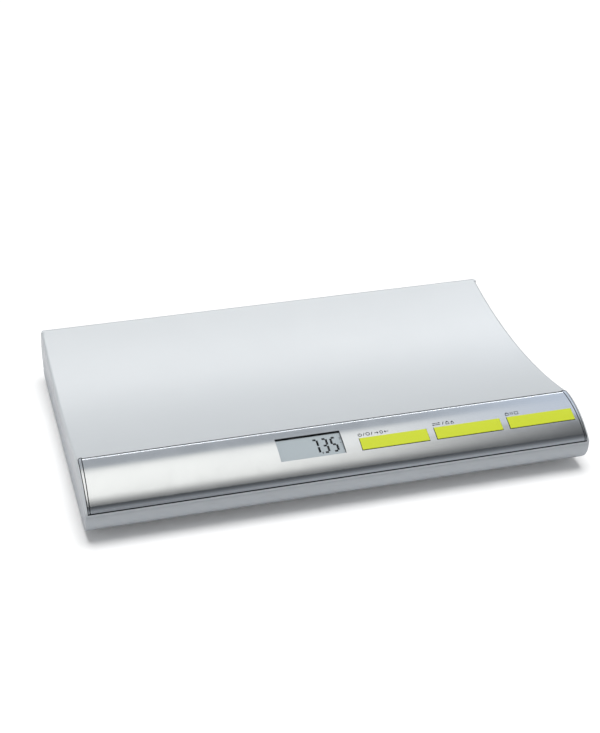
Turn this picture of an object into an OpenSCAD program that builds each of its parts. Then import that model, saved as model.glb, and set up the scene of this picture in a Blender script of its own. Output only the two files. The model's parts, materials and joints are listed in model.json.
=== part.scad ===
// Digital baby weighing scale.
// A long slab with a trough-shaped tray on top and a curved control console along its front edge.
// X runs left to right, Y front to back, Z up. The origin is on the floor under the middle of the body.

/* [Body] */
// Overall width, left end to right end
body_w = 550; // [500:5:620]
// Overall depth, front to back
body_d = 370; // [350:5:410]
// Gap between the floor and the underside
under_h = 8; // [7:0.5:10]
// Wall thickness of the two housings
wall_t = 2.5; // [2.2:0.1:2.8]
// Rounding where the two ends meet the long faces
end_round = 4; // [3:0.5:4.5]
// Height of the joint line between the upper and the lower housing
joint_h = 39; // [37:0.5:40]
// Height of the locating lip inside the joint
lip_h = 2.4; // [1.5:0.1:3]
// Thickness of the locating lip
lip_t = 1; // [0.8:0.1:1.1]
// Clearance between pieces that locate in each other
fit_gap = 0.15; // [0.1:0.05:0.25]

/* [Tray] */
// Height of the tray along its lowest line
tray_low_h = 54.8; // [53:0.2:57]
// Radius of the trough
tray_r = 640; // [600:10:700]
// How far the lowest line lies behind the middle
tray_low_y = 8; // [0:1:16]
// Rounding of the crest along the rear edge
crest_round = 6; // [5:0.5:7]
// Radius of the bulging rear face
rear_r = 55; // [52:1:60]
// Height at which the rear face stands out furthest
rear_bulge_h = 34; // [32:0.5:37]
// Rounding between the rear face and the underside
heel_round = 6; // [5:0.5:8]
// Depth of the stiffening ribs under the tray
rib_h = 9; // [5:0.5:12]
// Thickness of a stiffening rib
rib_t = 1.6; // [1.2:0.1:2]

/* [Console] */
// Depth of the console, from the front face to its rear edge
console_d = 63.5; // [61:0.5:66]
// Height of the console at its rear edge
console_top_h = 69; // [68:0.2:70]
// Radius of the console's top
console_r = 95; // [92:1:100]
// Rounding of the nose between the top and the front face
nose_round = 9; // [7:0.5:11]
// Radius of the lower front face
lower_round = 28; // [26:0.5:30]
// Thickness of the console panel
panel_t = 2.4; // [2:0.1:2.6]
// Dark gap round the console panel
panel_gap = 0.8; // [0.4:0.1:1]
// Rounding of the panel's two rear corners
panel_corner = 4; // [3:0.5:6]
// Thickness of the deck that carries the panel
deck_t = 2; // [1.6:0.1:2.2]
// Width of the raised bead at each end of the panel
bead_w = 3.2; // [2.5:0.1:4]
// Width of the groove beside the bead
groove_w = 1; // [0.6:0.1:1.2]
// Depth of the groove beside the bead
groove_t = 0.9; // [0.4:0.1:1]

/* [Display] */
// Width of the window in the panel
window_w = 71; // [66:1:76]
// Length of the window along the slope
window_l = 31; // [28:0.5:33]
// Distance of the window's middle to the left of the body's middle
window_x = 31; // [25:1:40]
// Distance of the window's middle from the front face
window_y = 32.5; // [30:0.5:34]
// Thickness of the clear window
lens_t = 1.2; // [1:0.1:1.5]
// Depth of the clear window below the panel's highest line
lens_depth = 2.3; // [2.1:0.1:2.4]
// Thickness of the display glass
glass_t = 2; // [1.6:0.1:2.4]
// Height of the conductive rubber strips
strip_h = 2.6; // [2.2:0.1:3]
// Thickness of the circuit boards
board_t = 1.6; // [1.2:0.2:2]

/* [Keys] */
// Width of a key
key_w = 75; // [70:1:78]
// Length of a key along the slope
key_l = 15; // [12:0.5:16]
// Distance from one key to the next, middle to middle
key_pitch = 83.6; // [82:0.2:86]
// Distance of the middle key to the right of the body's middle
key_x = 143.5; // [140:0.5:147]
// Distance of the keys' middle line from the front face
key_y = 25.2; // [24:0.2:27]
// How far the keys stand proud of the panel
key_proud = 0.8; // [0.4:0.1:1.2]
// Gap round a key
key_gap = 0.5; // [0.4:0.05:0.8]
// Travel of a key
key_travel = 0.8; // [0.5:0.1:0.9]
// Overhang of the flange that keeps a key in its window
key_flange = 1.5; // [1:0.1:2]
// Thickness of the key's flange
key_flange_t = 1.1; // [0.9:0.1:1.2]
// Radius of a key's guide post
post_r = 1.5; // [1.2:0.1:1.8]
// Clearance round a guide post
post_gap = 0.3; // [0.25:0.05:0.4]
// Width of a push switch
switch_w = 6; // [5.5:0.1:6.5]
// Height of a push switch without its plunger
switch_h = 3.5; // [3:0.1:3.6]
// Radius of a switch's plunger
plunger_r = 1.75; // [1.5:0.05:2]

/* [Feet] */
// Distance of a foot's middle from the nearer end
foot_end = 43; // [38:1:60]
// Distance of the front feet's middle from the front face
foot_front = 63; // [60:1:75]
// Distance of the rear feet's middle from the rear face
foot_rear = 49; // [44:1:60]
// Radius of a foot
foot_r = 22; // [20:0.5:23]
// Height of the foot's disc above the floor
foot_h = 9; // [8:0.2:9.5]
// Radius of the rubber pad
pad_r = 17; // [14:0.5:17.5]
// Thickness of the rubber pad
pad_t = 2; // [1.5:0.1:3]
// Side of the square load cell
cell_w = 34; // [32:0.5:35]
// Thickness of the load cell
cell_t = 1.5; // [1.2:0.1:2]
// Height of the load cell's lower face above the floor
cell_h = 13.2; // [12.8:0.1:14]
// Thickness of the retaining ring under a load cell
ring_t = 1.8; // [1.5:0.1:2]

/* [Batteries] */
// Radius of a cell
battery_r = 5.25; // [5:0.05:5.4]
// Length of a cell with its button
battery_l = 44.5; // [43.5:0.1:45]
// Room for the contacts at each end of a cell
contact_room = 3; // [2.8:0.1:3.4]
// Thickness of the battery door
door_t = 1.6; // [1.4:0.1:2]
// Distance of the battery bay to the left of the middle
bay_x = 60; // [40:5:80]
// Distance of the battery bay behind the middle
bay_y = 20; // [0:5:30]

/* [Fasteners and leads] */
// Radius of a housing screw's shank
screw_r = 1.4; // [1.2:0.1:1.6]
// Radius of a housing screw's head
screw_head_r = 2.8; // [2.6:0.1:3]
// Length of a housing screw under its head
screw_l = 14; // [12:0.5:16]
// Height of the housing screws' heads above the floor
screw_seat_h = 22; // [18:0.5:24]
// Radius of a small screw's shank
small_r = 1; // [0.8:0.1:1.1]
// Radius of a lead
lead_r = 0.9; // [0.7:0.1:1.1]

/* [Hidden] */

$fn = 64;
eps = 0.01;
front_y = -body_d / 2;
rear_y = body_d / 2;
end_x = body_w / 2;
tall = 200;

// Centres of the arcs that make up the side outline, as [y, z]
lower_c = [front_y + lower_round, under_h + lower_round];
console_c = [front_y + console_d, console_top_h - console_r];
nose_rise = sqrt(pow(console_r - nose_round, 2) - pow(console_d - nose_round, 2));
nose_c = [front_y + nose_round, console_c.y + nose_rise];
nose_a = atan2(nose_c.y - console_c.y, nose_c.x - console_c.x);
tray_c = [tray_low_y, tray_low_h + tray_r];
rear_c = [rear_y - rear_r, rear_bulge_h];
heel_drop = rear_bulge_h - under_h - heel_round;
heel_c = [rear_c.x + sqrt(pow(rear_r - heel_round, 2) - heel_drop * heel_drop), under_h + heel_round];
heel_a = atan2(heel_c.y - rear_c.y, heel_c.x - rear_c.x);
crest_c = circles_meet(tray_c, tray_r + crest_round, rear_c, rear_r - crest_round);
crest_front_a = atan2(tray_c.y - crest_c.y, tray_c.x - crest_c.x);
crest_rear_a = atan2(crest_c.y - rear_c.y, crest_c.x - rear_c.x);
tray_end_a = crest_front_a - 180;

// Layers under the console's curved top, as depths below it
seat_in = panel_t + fit_gap;
deck_in = seat_in + deck_t;
lens_low = -lens_depth - lens_t;
bezel_t = 0.6;
glass_top = lens_low - bezel_t;
glass_low = glass_top - glass_t;
board_top = glass_low - strip_h;
board_low = board_top - board_t;
window_a = asin((console_d - window_y) / console_r);
key_a = asin((console_d - key_y) / console_r);

// Display: margins of the pieces under the window
lens_margin = 2;
frame_margin = 3.5;
frame_wall = 1.5;
board_margin = 11;
display_board_w = window_w + 2 * board_margin;
display_board_l = window_l + 14;
key_board_l = 28;
key_board_w = 2 * key_pitch + key_w + 10;

// Keys: levels below the panel's highest line under the key
flange_half = key_l / 2 + key_flange;
panel_low_at_flange = (console_r - panel_t) - sqrt(pow(console_r - panel_t, 2) - pow(flange_half, 2));
flange_top = -panel_t - panel_low_at_flange - 0.2;
flange_low = flange_top - key_flange_t;
switch_top = board_top + switch_h;
plunger_top = switch_top + key_travel + 0.1;
plunger_low = plunger_top - 2.3;
post_x = key_w / 2 - 9;

// Feet
foot_places = [for (y = [front_y + foot_front, rear_y - foot_rear], x = [-1, 1]) [x * (end_x - foot_end), y]];
pocket_r = cell_w * sqrt(2) / 2 + 0.8;
turret_r = pocket_r + 2;
pocket_top = cell_h + cell_t;
tongue_room_r = 12;
tongue_room_h = 2;
turret_top = pocket_top + tongue_room_h + 2;
boss_r = 5.5;
spigot_r = 1.9;
cell_screw_x = cell_w / 2 + 3.4;

// Battery bay
battery_n = 4;
bay_pitch = 2 * battery_r + 0.7;
bay_w = battery_n * bay_pitch + 0.4;
bay_l = battery_l + 2 * contact_room;
door_margin = 3;
door_w = bay_w + 2 * door_margin;
door_l = bay_l + 2 * door_margin;
bay_block_w = door_w + 4;
bay_block_l = door_l + 12;
ledge_h = under_h + door_t + 0.2;
battery_h = ledge_h + battery_r + 0.1;
bay_top = battery_h + battery_r + 0.25;
bay_block_top = bay_top + 2;
latch_w = 14;

// Battery door's hooks, which turn about the door's lower rear edge and reach over the rim behind it
hinge_y = door_l / 2 + fit_gap;
hook_w = 8;
hook_in_r = door_t + 1;
hook_out_r = hook_in_r + 1.3;

// Housing screws and their bosses
boss_x = 150;
boss_places = concat(
    [for (y = [front_y + 78, rear_y - 35], x = [-boss_x, 0, boss_x]) [x, y]],
    [for (x = [-1, 1]) [x * (end_x - 14), 20]]);
boss_out_r = screw_head_r + 1.8;
boss_join_h = screw_seat_h + 4;

// Leads, which lie on the lower housing's ribs
rib_top = under_h + wall_t + 5;
lead_z = rib_top + lead_r + 0.3;
lead_pitch = 5;
lead_bend = 4;
lead_out = 6;
lane_y = console_c.x + 40;

// Pegs behind the panel that pass through holes in the deck, clear of the window and the keys
peg_r = 1.6;
peg_angles = [8, 33];
peg_places = [-end_x + 30, -end_x + 90, -window_x - window_w / 2 - 40, key_x - key_pitch, key_x, key_x + key_pitch];

// Places of the screws that hold the two boards, in each board's own frame
display_screw_places = [for (x = [-1, 1], y = [-1, 1])
    [x * (display_board_w / 2 - 4) - window_x, y * (display_board_l / 2 - 4)]];
key_screw_places = [for (i = [-0.5, 0.5], y = [-1, 1])
    [key_x + i * key_pitch, y * (key_board_l / 2 - 3.2)]];

// Points of an arc about centre c, from angle a0 to a1, without the first skip points
function arc(c, r, a0, a1, n, skip = 0) =
    [for (i = [skip:n]) c + r * [cos(a0 + (a1 - a0) * i / n), sin(a0 + (a1 - a0) * i / n)]];

// The rearward point where two circles cross
function circles_meet(c1, r1, c2, r2) =
    let (d = norm(c2 - c1), a = (r1 * r1 - r2 * r2 + d * d) / (2 * d), h = sqrt(r1 * r1 - a * a),
        u = (c2 - c1) / d)
    c1 + a * u + h * [-u.y, u.x];

// Angle on the trough, offset by d, above the console's rear edge
function tray_start_a(d) = -acos((console_c.x - tray_c.x) / (tray_r + d));

// Side outline of the body, moved inwards by d
function outline(d) = concat(
    arc(lower_c, lower_round - d, 270, 180, 8),
    arc(nose_c, nose_round - d, 180, nose_a, 6),
    arc(console_c, console_r - d, nose_a, 90, 12, 1),
    arc(tray_c, tray_r + d, tray_start_a(d), tray_end_a, 24),
    arc(crest_c, crest_round - d, crest_front_a, crest_rear_a, 5, 1),
    arc(rear_c, rear_r - d, crest_rear_a, 0, 8, 1),
    arc(rear_c, rear_r - d, 0, heel_a, 5, 1),
    arc(heel_c, heel_round - d, heel_a, -90, 5, 1));

// Height of the body's top, moved inwards by d, over the tray at depth y
function tray_z(y, d = 0) = tray_c.y - sqrt(pow(tray_r + d, 2) - pow(y - tray_c.x, 2));

// A point of the console's own frame: tilt a, then x, y along the slope and z outwards
function console_point(a, x, y, z) = [x,
    console_c.x + y * cos(a) - (console_r + z) * sin(a),
    console_c.y + y * sin(a) + (console_r + z) * cos(a)];

module along_x(x0, x1) {
    translate([x0, 0, 0]) rotate([90, 0, 90]) linear_extrude(x1 - x0) children();
}

module on_console(a) {
    translate([0, console_c.x, console_c.y]) rotate([a, 0, 0]) translate([0, 0, console_r]) children();
}

// A box centred in x and y that stands from z0 to z1
module slab(w, l, z0, z1) {
    translate([-w / 2, -l / 2, z0]) cube([w, l, z1 - z0]);
}

// What a rounding of radius e takes off the edge between the end face s and an arc of radius r
// about c: the arc is hollow where way is 1 and bulges where way is -1. The first flat of the
// rounding runs on past the arc, so that it crosses the surface cleanly.
module edge_ring(c, r, way, s) {
    e = end_round;
    step = 30;
    run_on = sin(step) / (1 - cos(step));
    curve = [for (t = [step:step:90]) [r + way * e * (1 - cos(t)), end_x - e * (1 - sin(t))]];
    translate([0, c.x, c.y]) rotate([0, 90 * s, 0]) rotate_extrude($fn = 360)
        polygon(concat([[r - way, end_x + 1], [r - way, end_x - e - run_on]], curve, [[r + way * e, end_x + 1]]));
}

// The body's outer form, with its long edges rounded at both ends
module rounded_body() {
    difference() {
        prism(0);
        for (s = [-1, 1]) {
            intersection() {
                edge_ring(tray_c, tray_r, 1, s);
                translate([-end_x - 2, console_c.x, 0]) cube([body_w + 4, crest_c.x - 3 - console_c.x, tall]);
            }
            intersection() {
                edge_ring(console_c, console_r, -1, s);
                translate([-end_x - 2, front_y - 1, nose_c.y]) cube([body_w + 4, console_d + 1, tall]);
            }
            intersection() {
                edge_ring(rear_c, rear_r, -1, s);
                translate([-end_x - 2, rear_c.x, heel_c.y]) cube([body_w + 4, body_d, tall]);
            }
        }
    }
}

// The same form with square ends, moved inwards by d
module prism(d) {
    along_x(-end_x + d, end_x - d) polygon(outline(d));
}

// Plan of what a rounding of radius r leaves out at the two rear corners of a field that is
// 2 * half wide and ends at y1
module corners_plan(half, y1, r) {
    corner = concat([[half - r, y1 + 1]], arc([half - r, y1 - r], r, 90, 0, 6),
        [[half + 1, y1 - r], [half + 1, y1 + 1]]);
    for (s = [-1, 1]) polygon([for (p = corner) [s * p.x, p.y]]);
}

// The console's share of the side view, widened to the rear by g
module console_side(g = 0) {
    translate([front_y - 1, joint_h - 3]) square([console_d + 1 + g, tall]);
}

module tray_section() {
    difference() {
        polygon(outline(0));
        difference() {
            polygon(outline(wall_t));
            console_side(deck_t);
        }
        intersection() {
            polygon(outline(deck_in));
            console_side(deck_t + eps);
        }
        difference() {
            console_side();
            polygon(outline(seat_in));
        }
    }
}

// Fills the rear corners of the panel's seat up to their rounding
module seat_corners() {
    difference() {
        linear_extrude(tall) corners_plan(end_x - wall_t, console_c.x, panel_corner + panel_gap);
        along_x(-end_x, end_x) polygon(outline(deck_in));
    }
}

// The deck's lower edge, which reaches down behind the lower housing's front wall
module deck_skirt() {
    intersection() {
        difference() {
            polygon(outline(wall_t + fit_gap));
            polygon(outline(deck_in));
        }
        translate([front_y, joint_h - 3]) square([10, 3 + eps]);
    }
}

module tray_ribs() {
    intersection() {
        prism(wall_t / 2);
        union() {
            for (x = [-1.5:1:1.5])
                translate([x * 120 - rib_t / 2, console_c.x + deck_t, 0])
                    cube([rib_t, rear_y - console_c.x - 30, tall]);
            for (y = [-60, 20, 100])
                translate([-end_x + wall_t / 2, y - rib_t / 2, 0]) cube([body_w - wall_t, rib_t, tall]);
        }
        along_x(-end_x, end_x) difference() {
            polygon(outline(wall_t / 2));
            translate([0, -rib_h]) polygon(outline(wall_t));
        }
    }
}

module tray_posts() {
    intersection() {
        prism(wall_t / 2);
        for (p = boss_places)
            translate([p.x, p.y, boss_join_h]) cylinder(r = boss_out_r, h = tall);
    }
}

module tray_shell() {
    color([0.86, 0.88, 0.9]) difference() {
        union() {
            intersection() {
                rounded_body();
                union() {
                    along_x(-end_x + wall_t, end_x - wall_t) tray_section();
                    for (s = [-1, 1])
                        translate([s * (end_x - wall_t / 2) - wall_t / 2, front_y, 0])
                            cube([wall_t, body_d, tall]);
                    seat_corners();
                }
                translate([-end_x, front_y, joint_h]) cube([body_w, body_d, tall]);
            }
            along_x(-end_x + wall_t, end_x - wall_t) deck_skirt();
            tray_ribs();
            tray_posts();
            display_posts();
        }
        intersection() {
            prism(wall_t - lip_t - fit_gap);
            translate([-end_x, console_c.x + 2, 0]) cube([body_w, body_d, joint_h + lip_h + fit_gap]);
        }
        for (p = boss_places)
            translate([p.x, p.y, 0]) cylinder(r = screw_r + fit_gap, h = screw_seat_h + screw_l + 1);
        on_console(window_a) translate([-window_x, 0, 0])
            slab(window_w + 2 * frame_margin + 1, window_l + 2 * frame_margin + 1, -deck_in - 3.2, 5);
        for (i = [-1, 0, 1])
            on_console(key_a) translate([key_x + i * key_pitch, 0, 0])
                slab(key_w + 2 * key_flange + 1.5, key_l + 2 * key_flange + 1.5, -deck_in - 2, 5);
        board_holes();
        intersection() {
            panel_pegs(fit_gap + 0.1);
            prism(panel_t);
        }
    }
}

// Posts under the deck for the boards' screws
module display_posts() {
    intersection() {
        union() {
            on_console(window_a) for (p = display_screw_places)
                translate([p.x, p.y, board_top]) cylinder(r = 2.6, h = -board_top - panel_t);
            on_console(key_a) for (p = key_screw_places)
                translate([p.x, p.y, board_top]) cylinder(r = 2.2, h = -board_top - panel_t);
        }
        prism(seat_in + 0.2);
    }
}

module board_holes() {
    on_console(window_a) for (p = display_screw_places)
        translate([p.x, p.y, board_top - 1]) cylinder(r = small_r + fit_gap, h = 4.5, $fn = 24);
    on_console(key_a) for (p = key_screw_places)
        translate([p.x, p.y, board_top - 1]) cylinder(r = small_r + fit_gap, h = 4.5, $fn = 24);
}

module lip() {
    difference() {
        prism(wall_t - lip_t);
        prism(wall_t);
        translate([-end_x, front_y - 1, 0]) cube([body_w, console_d + 4, tall]);
        translate([-end_x, front_y - 1, -1]) cube([body_w, body_d + 2, joint_h - 1]);
        translate([-end_x, front_y - 1, joint_h + lip_h]) cube([body_w, body_d + 2, tall]);
    }
}

module turrets() {
    for (p = foot_places)
        translate([p.x, p.y, under_h]) cylinder(r = turret_r, h = turret_top - under_h);
}

module turret_hollows() {
    for (p = foot_places) translate([p.x, p.y, 0]) {
        cylinder(r = pocket_r, h = pocket_top);
        cylinder(r = tongue_room_r, h = pocket_top + tongue_room_h);
        for (s = [-1, 1])
            translate([s * cell_screw_x, 0, 0])
                cylinder(r = small_r + fit_gap, h = pocket_top + 3, $fn = 24);
        translate([p.x > 0 ? -turret_r - 2 : 0, -sign(p.y) * lead_out - 1.5, pocket_top])
            cube([turret_r + 2, 3, tongue_room_h]);
    }
}

module bay_block() {
    translate([-bay_x, bay_y, 0]) slab(bay_block_w, bay_block_l, under_h, bay_block_top);
}

// Hollow of the battery bay: the troughs for the cells, the door's recess, its hooks and its latch
module bay_hollow() {
    translate([-bay_x, bay_y, 0]) {
        slab(door_w + 2 * fit_gap, door_l + 2 * fit_gap, under_h - 1, ledge_h);
        slab(bay_w, bay_l, under_h - 1, battery_h);
        for (i = [0:battery_n - 1])
            translate([(i - (battery_n - 1) / 2) * bay_pitch, -bay_l / 2, battery_h])
                rotate([-90, 0, 0]) cylinder(r = battery_r + 0.2, h = bay_l);
        for (s = [-1, 1])
            translate([s * door_w / 4 - hook_w / 2 - 0.5, bay_l / 2 - 1, ledge_h - eps])
                cube([hook_w + 1, hinge_y + hook_out_r - bay_l / 2 + 1.4, under_h + hook_out_r + 0.5 - ledge_h]);
        translate([-latch_w / 2 - 1, -door_l / 2 - 2.4, ledge_h - 1]) cube([latch_w + 2, 6, 5]);
        translate([0, -door_l / 2 - 1, under_h - 1]) scale([1.6, 1, 1]) cylinder(r = 5, h = 2.6);
    }
}

module battery_door() {
    color([0.72, 0.74, 0.77]) translate([-bay_x, bay_y, 0]) {
        slab(door_w, door_l, under_h, under_h + door_t);
        for (s = [-1, 1]) translate([s * door_w / 4 - hook_w / 2, hinge_y, under_h]) hook();
        translate([-latch_w / 2, -door_l / 2, under_h + door_t - eps]) cube([latch_w, 1.2, 3]);
        translate([-latch_w / 2, -door_l / 2 - 0.5, under_h + door_t + 1.6]) cube([latch_w, 0.6, 0.8]);
        for (i = [0:3])
            translate([-latch_w / 2, -door_l / 2 + 4 + 2.2 * i, under_h - 0.5]) cube([latch_w, 1, 0.6]);
    }
}

// A hook that runs round the hinge's axis, from the door's upper face to the far side of the rim
module hook() {
    reach = 2 * hook_out_r;
    difference() {
        rotate([0, 90, 0]) cylinder(r = hook_out_r, h = hook_w);
        translate([-1, 0, 0]) rotate([0, 90, 0]) cylinder(r = hook_in_r, h = hook_w + 2);
        translate([-1, 0, 0]) rotate([90, 0, 90]) linear_extrude(hook_w + 2)
            polygon([[0, 0], reach * [cos(55), sin(55)], reach * [1, 0], reach * [1, -1], reach * [-1, -1],
                reach * [-1, 0], reach * [cos(162), sin(162)]]);
    }
}

module base_bosses() {
    for (p = boss_places) translate([p.x, p.y, under_h])
        cylinder(r = boss_out_r, h = boss_join_h - fit_gap - under_h);
}

module base_ribs() {
    intersection() {
        prism(wall_t / 2);
        translate([-end_x, front_y, under_h]) cube([body_w, body_d, rib_top - under_h]);
        union() {
            for (p = foot_places) {
                translate([p.x - rib_t / 2, front_y, 0]) cube([rib_t, body_d, tall]);
                translate([-end_x, p.y - rib_t / 2, 0]) cube([body_w, rib_t, tall]);
            }
        }
    }
}

module base_housing() {
    color([0.75, 0.77, 0.8]) difference() {
        union() {
            difference() {
                intersection() {
                    rounded_body();
                    translate([-end_x, front_y, 0]) cube([body_w, body_d, joint_h]);
                }
                prism(wall_t);
            }
            lip();
            turrets();
            bay_block();
            base_bosses();
            base_ribs();
        }
        turret_hollows();
        bay_hollow();
        for (p = boss_places) translate([p.x, p.y, 0]) {
            cylinder(r = screw_r + 0.3, h = tall);
            cylinder(r = screw_head_r + 0.4, h = screw_seat_h);
        }
        front_line();
    }
}

// Fine line moulded along the lower front face, just under the joint
module front_line() {
    line_drop = 3.2;
    translate([-end_x, front_y, joint_h - line_drop - 0.25]) cube([body_w, 0.35, 0.5]);
}

module panel_section() {
    difference() {
        polygon(outline(0));
        polygon(outline(panel_t));
        translate([console_c.x - panel_gap, 0]) square([body_d, tall]);
        translate([front_y - 1, 0]) square([console_d + 2, joint_h + panel_gap]);
    }
}

module console_panel() {
    half = end_x - wall_t - panel_gap;
    color([0.7, 0.73, 0.77]) difference() {
        union() {
            along_x(-half, half) panel_section();
            panel_pegs();
        }
        linear_extrude(tall) corners_plan(half, console_c.x - panel_gap, panel_corner);
        for (x = [-half + bead_w, half - bead_w - groove_w])
            along_x(x, x + groove_w)
                difference() {
                    console_side();
                    polygon(outline(groove_t));
                }
        on_console(window_a) translate([-window_x, 0, 0]) {
            slab(window_w, window_l, -20, 5);
            slab(window_w + 2 * lens_margin + 0.4, window_l + 2 * lens_margin + 0.4, -20, -lens_depth);
            slab(window_w + 2 * frame_margin + 0.4, window_l + 2 * frame_margin + 0.4, -20, lens_low + 0.1);
        }
        for (i = [-1, 0, 1])
            on_console(key_a) translate([key_x + i * key_pitch, 0, 0])
                slab(key_w + 2 * key_gap, key_l + 2 * key_gap, -20, 5);
    }
}

module panel_pegs(grow = 0) {
    for (a = peg_angles, x = peg_places)
        on_console(a) translate([x, 0, -deck_in - 1 - grow]) cylinder(r = peg_r + grow, h = deck_in + grow, $fn = 24);
}

module display_window() {
    color([0.8, 0.85, 0.86, 0.4]) on_console(window_a) translate([-window_x, 0, 0])
        slab(window_w + 2 * lens_margin, window_l + 2 * lens_margin, lens_low, -lens_depth);
}

module lcd_frame() {
    w = window_w + 2 * frame_margin;
    l = window_l + 2 * frame_margin;
    color([0.2, 0.21, 0.22]) on_console(window_a) translate([-window_x, 0, 0]) difference() {
        slab(w, l, board_top, lens_low);
        slab(w - 2 * frame_wall, l - 2 * frame_wall, board_top - 1, glass_top);
        slab(window_w + 1, window_l + 1, board_top - 1, lens_low + 1);
    }
}

module lcd_glass() {
    w = window_w + 2 * frame_margin - 2 * frame_wall - 0.4;
    l = window_l + 2 * frame_margin - 2 * frame_wall - 0.4;
    color([0.66, 0.7, 0.69]) on_console(window_a) translate([-window_x, 0, 0])
        slab(w, l, glass_low, glass_top);
}

module rubber_strips() {
    l = window_l + 2 * frame_margin - 2 * frame_wall - 0.6;
    color([0.15, 0.15, 0.16]) on_console(window_a) for (s = [-1, 1])
        translate([-window_x, s * (l / 2 - 1.2), 0]) slab(window_w - 6, 2.2, board_top, glass_low);
}

module display_board() {
    color([0.1, 0.36, 0.2]) on_console(window_a) difference() {
        translate([-window_x, 0, 0]) slab(display_board_w, display_board_l, board_low, board_top);
        for (p = display_screw_places)
            translate([p.x, p.y, board_low - 1]) cylinder(r = small_r + 0.2, h = board_t + 2, $fn = 24);
    }
}

// Controller chip with its legs, on the underside of the display board
module display_chip() {
    side = 14;
    color([0.12, 0.12, 0.13]) on_console(window_a) translate([-window_x, 0, 0]) {
        slab(side, side, board_low - 1.7, board_low - 0.2);
        for (i = [-3:3], a = [0, 90, 180, 270])
            rotate([0, 0, a]) translate([i * 1.6 - 0.3, side / 2 - eps, board_low - 1]) {
                cube([0.6, 1.2, 0.3]);
                translate([0, 0.9, 0]) cube([0.6, 0.3, 1]);
            }
    }
}

module key_board() {
    color([0.1, 0.36, 0.2]) on_console(key_a) difference() {
        translate([key_x, 0, 0]) slab(key_board_w, key_board_l, board_low, board_top);
        for (p = key_screw_places)
            translate([p.x, p.y, board_low - 1]) cylinder(r = small_r + 0.2, h = board_t + 2, $fn = 24);
        for (i = [-1, 0, 1], s = [-1, 1])
            translate([key_x + i * key_pitch + s * post_x, 0, board_low - 1])
                cylinder(r = post_r + post_gap, h = board_t + 2, $fn = 32);
    }
}

// Flat jumper that hangs in a loop between the two boards
module board_ribbon() {
    film = 0.4;
    sag = 4.5;
    x0 = -window_x + display_board_w / 2 - 6;
    x1 = key_x - key_board_w / 2 + 6;
    z0 = board_low - 0.3;
    color([0.75, 0.75, 0.76]) on_console((window_a + key_a) / 2) rotate([90, 0, 0])
        linear_extrude(12, center = true) difference() {
            polygon([[x0, z0], [x0, z0 - sag + 2], [x0 + 2, z0 - sag], [x1 - 2, z0 - sag], [x1, z0 - sag + 2], [x1, z0]]);
            polygon([[x0 + film, z0 + 1], [x0 + film, z0 - sag + 2.2], [x0 + 2.2, z0 - sag + film],
                [x1 - 2.2, z0 - sag + film], [x1 - film, z0 - sag + 2.2], [x1 - film, z0 + 1]]);
        }
}

module key_cap(i) {
    on_console(key_a) translate([key_x + i * key_pitch, 0, 0]) {
        intersection() {
            slab(key_w, key_l, flange_low, 5);
            translate([-key_w, 0, -console_r]) rotate([0, 90, 0])
                cylinder(r = console_r + key_proud, h = 2 * key_w, $fn = 360);
        }
        slab(key_w + 2 * key_flange, key_l + 2 * key_flange, flange_low, flange_top);
        translate([0, 0, plunger_top]) cylinder(r = 3, h = flange_low - plunger_top + eps, $fn = 32);
        for (s = [-1, 1]) translate([s * post_x, 0, board_low - 1.5])
            cylinder(r = post_r, h = flange_low - board_low + 1.5 + eps, $fn = 32);
    }
}

module key_tare() { color([0.84, 0.9, 0.2]) key_cap(-1); }
module key_unit() { color([0.84, 0.9, 0.2]) key_cap(0); }
module key_hold() { color([0.84, 0.9, 0.2]) key_cap(1); }

module plunger(i) {
    on_console(key_a) translate([key_x + i * key_pitch, 0, plunger_low])
        cylinder(r = plunger_r, h = plunger_top - plunger_low, $fn = 32);
}

module plunger_tare() { color([0.2, 0.2, 0.2]) plunger(-1); }
module plunger_unit() { color([0.2, 0.2, 0.2]) plunger(0); }
module plunger_hold() { color([0.2, 0.2, 0.2]) plunger(1); }

module push_switch(i) {
    on_console(key_a) translate([key_x + i * key_pitch, 0, 0]) difference() {
        slab(switch_w, switch_w, board_top, switch_top);
        translate([0, 0, plunger_low - key_travel - 0.1])
            cylinder(r = plunger_r + post_gap, h = 10, $fn = 32);
    }
}

module switch_tare() { color([0.75, 0.76, 0.78]) push_switch(-1); }
module switch_unit() { color([0.75, 0.76, 0.78]) push_switch(0); }
module switch_hold() { color([0.75, 0.76, 0.78]) push_switch(1); }

// One cell, laid along Y, with its button towards the rear or the front in turn
module battery(i) {
    button_l = 1;
    flip = i % 2 == 0 ? 1 : -1;
    translate([-bay_x + (i - (battery_n - 1) / 2) * bay_pitch, bay_y, battery_h]) rotate([-90 * flip, 0, 0]) {
        translate([0, 0, -battery_l / 2]) cylinder(r = battery_r, h = battery_l - button_l);
        translate([0, 0, battery_l / 2 - button_l - eps]) cylinder(r = 1.9, h = button_l + eps, $fn = 32);
    }
}

module battery_1() { color([0.25, 0.27, 0.3]) battery(0); }
module battery_2() { color([0.25, 0.27, 0.3]) battery(1); }
module battery_3() { color([0.25, 0.27, 0.3]) battery(2); }
module battery_4() { color([0.25, 0.27, 0.3]) battery(3); }

// Leaf contacts at one end of the bay: a plate behind each cell with a rounded leaf that meets it
module contacts(s) {
    plate_t = 0.5;
    leaf_r = contact_room - plate_t - 0.3;
    translate([-bay_x, bay_y + s * bay_l / 2, battery_h])
        for (i = [0:battery_n - 1])
            translate([(i - (battery_n - 1) / 2) * bay_pitch, 0, 0]) {
                translate([-4, s > 0 ? -plate_t : 0, -4]) cube([8, plate_t, 7.5]);
                intersection() {
                    translate([-2.5, -s * plate_t, 0]) rotate([0, 90, 0]) cylinder(r = leaf_r, h = 5, $fn = 32);
                    translate([-3, s > 0 ? -5 : 0, -4]) cube([6, 5, 8]);
                }
            }
}

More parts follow.
